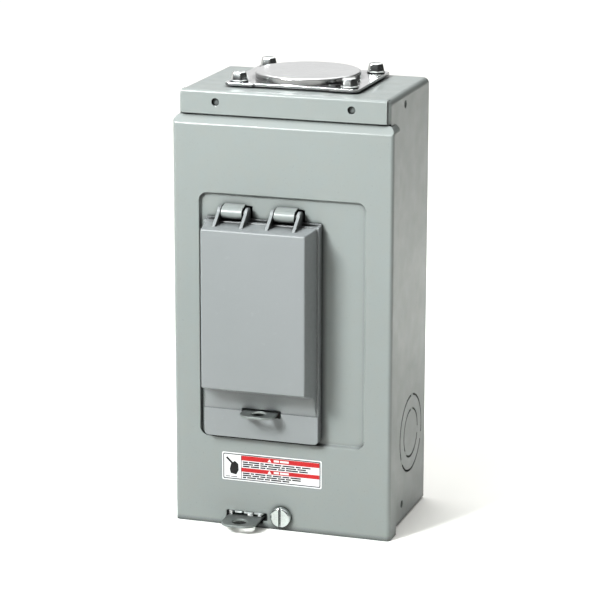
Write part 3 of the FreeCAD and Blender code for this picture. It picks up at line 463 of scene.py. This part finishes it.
def build_hub_bolts():
    """Flanged hex bolts with chamfered, slightly dished heads and threaded shanks."""
    bm = bmesh.new()
    apothem, height, flange = 4.2, 5.4, 4.9
    for x, y in HUB_BOLTS:
        spot = (x, y, HUB_SEAT)
        turned(bm, spot, (0, 0, 1), [(2.2, -0.6), (flange - 0.3, 0.0), (flange, 0.25), (flange, 0.7),
                                     (flange - 0.25, 1.0), (apothem * 0.9, 1.5)])
        turned(bm, spot, (0, 0, 1), [(apothem, 0.9), (apothem, 1.5), (apothem * 0.84, height - 0.8),
                                     (apothem * 0.80, height - 0.4), (apothem * 0.66, height - 0.05),
                                     (apothem * 0.55, height), (apothem * 0.45, height - 0.5)],
               72, hexagon)
        thread = [(2.0, -10.0)]
        for i in range(THREAD_TURNS):
            rise = THREAD_PITCH * i
            thread += [(THREAD_CREST, -9.6 + rise), (THREAD_ROOT, -9.2 + rise)]
        turned(bm, spot, (0, 0, 1), thread, 24)
    finish_mesh("hub_bolts", bm, BODY_OF["hub_screws"], "zinc", FINISHES["bolt"], 24, "hub_screws")


# ---------------------------------------------------------------- label

LABEL_X, LABEL_Z = (-34.4, 23.1), (TOP - 216.4, TOP - 200.4)
LABEL_FRONT, LABEL_BACK = -79.14, -79.0
INK_FRONT, INK_BACK = -79.17, -79.1
TEXT_ROWS = ((10.6, (3, 6, 2, 5, 4, 7, 3, 5)), (9.4, (6, 3, 4, 7, 2, 6, 5)), (8.2, (4, 5, 3, 6, 4, 7, 5)),
             (4.2, (4, 2, 6, 3, 5, 4, 6)), (3.0, (5, 4, 3, 6, 4, 3, 5)), (1.8, (2, 5, 4, 3, 6, 4)))
SYMBOL = ([(2.2, 12.6), (3.0, 13.4), (6.4, 10.2), (5.4, 9.6)],
          [(5.0, 4.0), (8.2, 3.4), (9.6, 6.0), (9.4, 9.6), (7.4, 11.2), (5.2, 9.4), (4.4, 6.2)])


def inked(name, color, outlines):
    """Flat ink shapes on the label, from outlines in the cover's plane."""
    bm = bmesh.new()
    for points in outlines:
        plate(bm, points, INK_FRONT, INK_BACK)
    finish_mesh(name, bm, "cover", "label_vinyl", material=INKS[color])


def bar(x, z, width, height, radius=0.2):
    """Rounded bar from its lower left corner, measured from the label's lower left corner."""
    x0, z0 = LABEL_X[0] + x, LABEL_Z[0] + z
    return rounded_outline(x0, x0 + width, z0, z0 + height, radius, 2)


def build_label():
    """Generic printed label: border, symbol cell, colour bands and plain bars, no lettering."""
    x0, x1 = LABEL_X
    z0, z1 = LABEL_Z
    bm = bmesh.new()
    plate(bm, rounded_outline(x0, x1, z0, z1, 0.8), LABEL_FRONT, LABEL_BACK, 0.04)
    finish_mesh("label_sheet", bm, "cover", "label_vinyl", replaces="cover_label")
    bm = bmesh.new()
    frame_plate(bm, rounded_outline(x0 + 0.7, x1 - 0.7, z0 + 0.7, z1 - 0.7, 0.7),
                rounded_outline(x0 + 1.2, x1 - 1.2, z0 + 1.2, z1 - 1.2, 0.4), INK_FRONT, INK_BACK)
    finish_mesh("label_border", bm, "cover", "label_vinyl", material=INKS["black"])
    inked("label_bands", "red", [bar(11.3, 11.9, 44.9, 2.7), bar(11.3, 5.4, 44.9, 2.3)])
    inked("label_bars", "black", [bar(12.0 + dx, z, width, 0.75, 0.1) for z, row in TEXT_ROWS
                                  for dx, width in zip(running_sum(row), row)])
    inked("label_cell", "black", [bar(11.0, 1.4, 0.3, 13.2, 0.1), bar(2.2, 1.9, 2.4, 0.4, 0.1),
                                  bar(5.2, 1.9, 3.6, 0.4, 0.1)])
    inked("label_symbol", "black", [[(x0 + x, z0 + z) for x, z in outline] for outline in SYMBOL])
    white = [bar(30.0 + dx, z, width, height, 0.1) for z, height in ((12.7, 1.1), (6.0, 1.1))
             for dx, width in zip(running_sum((3, 5)), (3, 5))]
    white += [[(x0 + 26.4, z0 + z), (x0 + 28.6, z0 + z), (x0 + 27.5, z0 + z + 1.8)] for z in (12.3, 5.7)]
    bm = bmesh.new()
    for points in white:
        plate(bm, points, INK_FRONT - 0.02, INK_BACK)
    finish_mesh("label_band_marks", bm, "cover", "label_vinyl", material=INKS["white"])


def running_sum(widths, gap=0.6):
    """Start of each bar in a row of bars."""
    starts = []
    total = 0.0
    for width in widths:
        starts.append(total)
        total += width + gap
    return starts


# ---------------------------------------------------------------- small extra details

CLIP_TONGUES = ((-31.4, 2.4), (-27.9, 4.3), (-22.6, 5.2), (-16.6, 5.0))
CLIP_FEET = ((-31.4, 2.2), (-20.4, 3.0), (-14.4, 1.9))
CLIP_BACK = -74.05
TOGGLE_XS = (-23.0, 2.4)
TOGGLE_Z = TOP - 128.0
MARK_DROP = 11.4
MARK_W = 5.0


def build_slot_clip():
    """Sprung tongues and feet on the end wall, seen through the padlock slot of the cover."""
    bm = bmesh.new()
    for places, z0, z1, front in ((CLIP_TONGUES, TOP - 235.9, TOP - 234.7, -77.0),
                                  (CLIP_FEET, TOP - 236.8, TOP - 236.2, -77.3)):
        for x, width in places:
            plate(bm, rounded_outline(x, x + width, z0, z1, 0.25, 3), front, CLIP_BACK, 0.12)
    plate(bm, rounded_outline(-33.5, -7.5, TOP - 234.2, TOP - 232.6, 0.3, 3), -74.6, CLIP_BACK, 0.1)
    finish_mesh("slot_clip", bm, BODY_OF["bottom_end_wall"], "zinc", FINISHES["clip"])


def build_breaker_marks():
    """Plain white marks beside the toggles."""
    bm = bmesh.new()
    for x in TOGGLE_XS:
        for dz in (MARK_DROP, -MARK_DROP):
            z = TOGGLE_Z + dz
            outline = rounded_outline(x - MARK_W / 2, x + MARK_W / 2, z - 0.5, z + 0.5, 0.3, 3)
            plate(bm, outline, -79.56, -79.4)
    finish_mesh("breaker_marks", bm, BODY_OF["left_breaker_case"], "breaker_black",
                material=INKS["white"])


# ---------------------------------------------------------------- stage, light, camera

AZIMUTH, ELEVATION, ROLL = 18.0, 14.58, -0.11
DISTANCE = 1.5028
LENS_MM, SENSOR_MM = 162.5, 36.0
AIM = Vector((-0.00388, -0.03486, -0.00154))
FLOOR_HALF = 6.0
WORLD = {"front_left": 0.12, "front_right": 0.04, "rear_left": 0.86, "rear_right": 0.05, "zenith": 1.0}
# name: place, target, size, watts, tint, spread in degrees
LIGHTS = {
    "key": ((-0.55, -0.95, 0.80), (0, -0.05, 0.17), (0.4, 0.5), 2.85, (0.97, 1.0, 1.0), 38),
    "strip": ((-0.32, -0.80, 0.82), (0, -0.07, 0.08), (0.7, 0.05), 0.9, (1, 1, 1), 80),
    "overhead": ((-0.5, 0.9, 1.8), (-0.3, 0.9, 0.0), (2.4, 2.0), 24, (1, 1, 1), 180),
    "rear_right": ((1.1, 0.75, 0.9), (0.06, 0, 0.06), (0.6, 0.6), 0.19, (1.0, 0.80, 0.45), 180),
}


def add_floor():
    """Plain pale floor that the part stands on."""
    level = cad_box[0][2]
    mesh = bpy.data.meshes.new("floor")
    corners = [(-FLOOR_HALF, -FLOOR_HALF), (FLOOR_HALF, -FLOOR_HALF), (FLOOR_HALF, FLOOR_HALF),
               (-FLOOR_HALF, FLOOR_HALF)]
    mesh.from_pydata([(x, y, level) for x, y in corners], [], [(0, 1, 2, 3)])
    floor = bpy.data.objects.new("floor", mesh)
    bpy.context.scene.collection.objects.link(floor)
    s = Surface("pale_floor", specular=0.2)
    s.color(s.blend(s.ramp(s.noise(6, 3), 0.3, 0.7), (0.94, 0.94, 0.90), (0.96, 0.96, 0.92)))
    s.shader.inputs["Roughness"].default_value = 0.9
    floor.data.materials.append(s.material)


def add_light(name, place, target, size, power, tint, spread):
    """Rectangular area light aimed at a target."""
    data = bpy.data.lights.new(name, "AREA")
    data.spread = math.radians(spread)
    data.shape = "RECTANGLE"
    data.size, data.size_y = size
    data.energy = power
    data.color = tint
    light = bpy.data.objects.new(name, data)
    light.location = place
    light.rotation_euler = (Vector(target) - Vector(place)).to_track_quat("-Z", "Y").to_euler()
    bpy.context.scene.collection.objects.link(light)


def add_world():
    """Studio surround: bright overhead and behind, dim at the front right."""
    world = bpy.data.worlds.new("studio")
    world.use_nodes = True
    tree = world.node_tree
    link = tree.links.new
    split = tree.nodes.new("ShaderNodeSeparateXYZ")
    link(tree.nodes.new("ShaderNodeTexCoord").outputs["Generated"], split.inputs[0])

    def step(value, low, high):
        node = tree.nodes.new("ShaderNodeMapRange")
        node.interpolation_type = "SMOOTHSTEP"
        node.inputs["From Min"].default_value = low
        node.inputs["From Max"].default_value = high
        link(value, node.inputs["Value"])
        return node.outputs[0]

    def mix(factor, a, b):
        node = tree.nodes.new("ShaderNodeMix")
        link(factor, node.inputs[0])
        for index, value in ((2, a), (3, b)):
            if isinstance(value, float):
                node.inputs[index].default_value = value
            else:
                link(value, node.inputs[index])
        return node.outputs[0]

    front = mix(step(split.outputs["X"], -0.1, 0.35), WORLD["front_left"], WORLD["front_right"])
    rear = mix(step(split.outputs["X"], -0.15, 0.15), WORLD["rear_left"], WORLD["rear_right"])
    around = mix(step(split.outputs["Y"], -0.15, 0.35), front, rear)
    strength = mix(step(split.outputs["Z"], 0.3, 0.75), around, WORLD["zenith"])
    link(strength, tree.nodes["Background"].inputs["Strength"])
    tree.nodes["Background"].inputs["Color"].default_value = (1, 1, 1, 1)
    bpy.context.scene.world = world


def add_camera():
    """Camera in front of the part, to its right and slightly above."""
    a, e, r = (math.radians(v) for v in (AZIMUTH, ELEVATION, ROLL))
    back = Vector((math.sin(a) * math.cos(e), -math.cos(a) * math.cos(e), math.sin(e)))
    right = Vector((math.cos(a), math.sin(a), 0))
    up = back.cross(right)
    tilt = Matrix.Rotation(r, 3, "Z")
    turn = (tilt @ Matrix((right, up, back))).transposed()
    data = bpy.data.cameras.new("camera")
    data.lens, data.sensor_width = LENS_MM, SENSOR_MM
    data.clip_end = 20
    camera = bpy.data.objects.new("camera", data)
    camera.matrix_world = Matrix.Translation(AIM + back * DISTANCE) @ turn.to_4x4()
    bpy.context.scene.collection.objects.link(camera)
    bpy.context.scene.camera = camera


dress_nodes()
build_soft_copies()
build_hub_bolts()
build_label()
build_slot_clip()
build_breaker_marks()
add_floor()
add_world()
for light_name, settings in LIGHTS.items():
    add_light(light_name, *settings)
add_camera()
bpy.context.scene.view_settings.view_transform = "Standard"
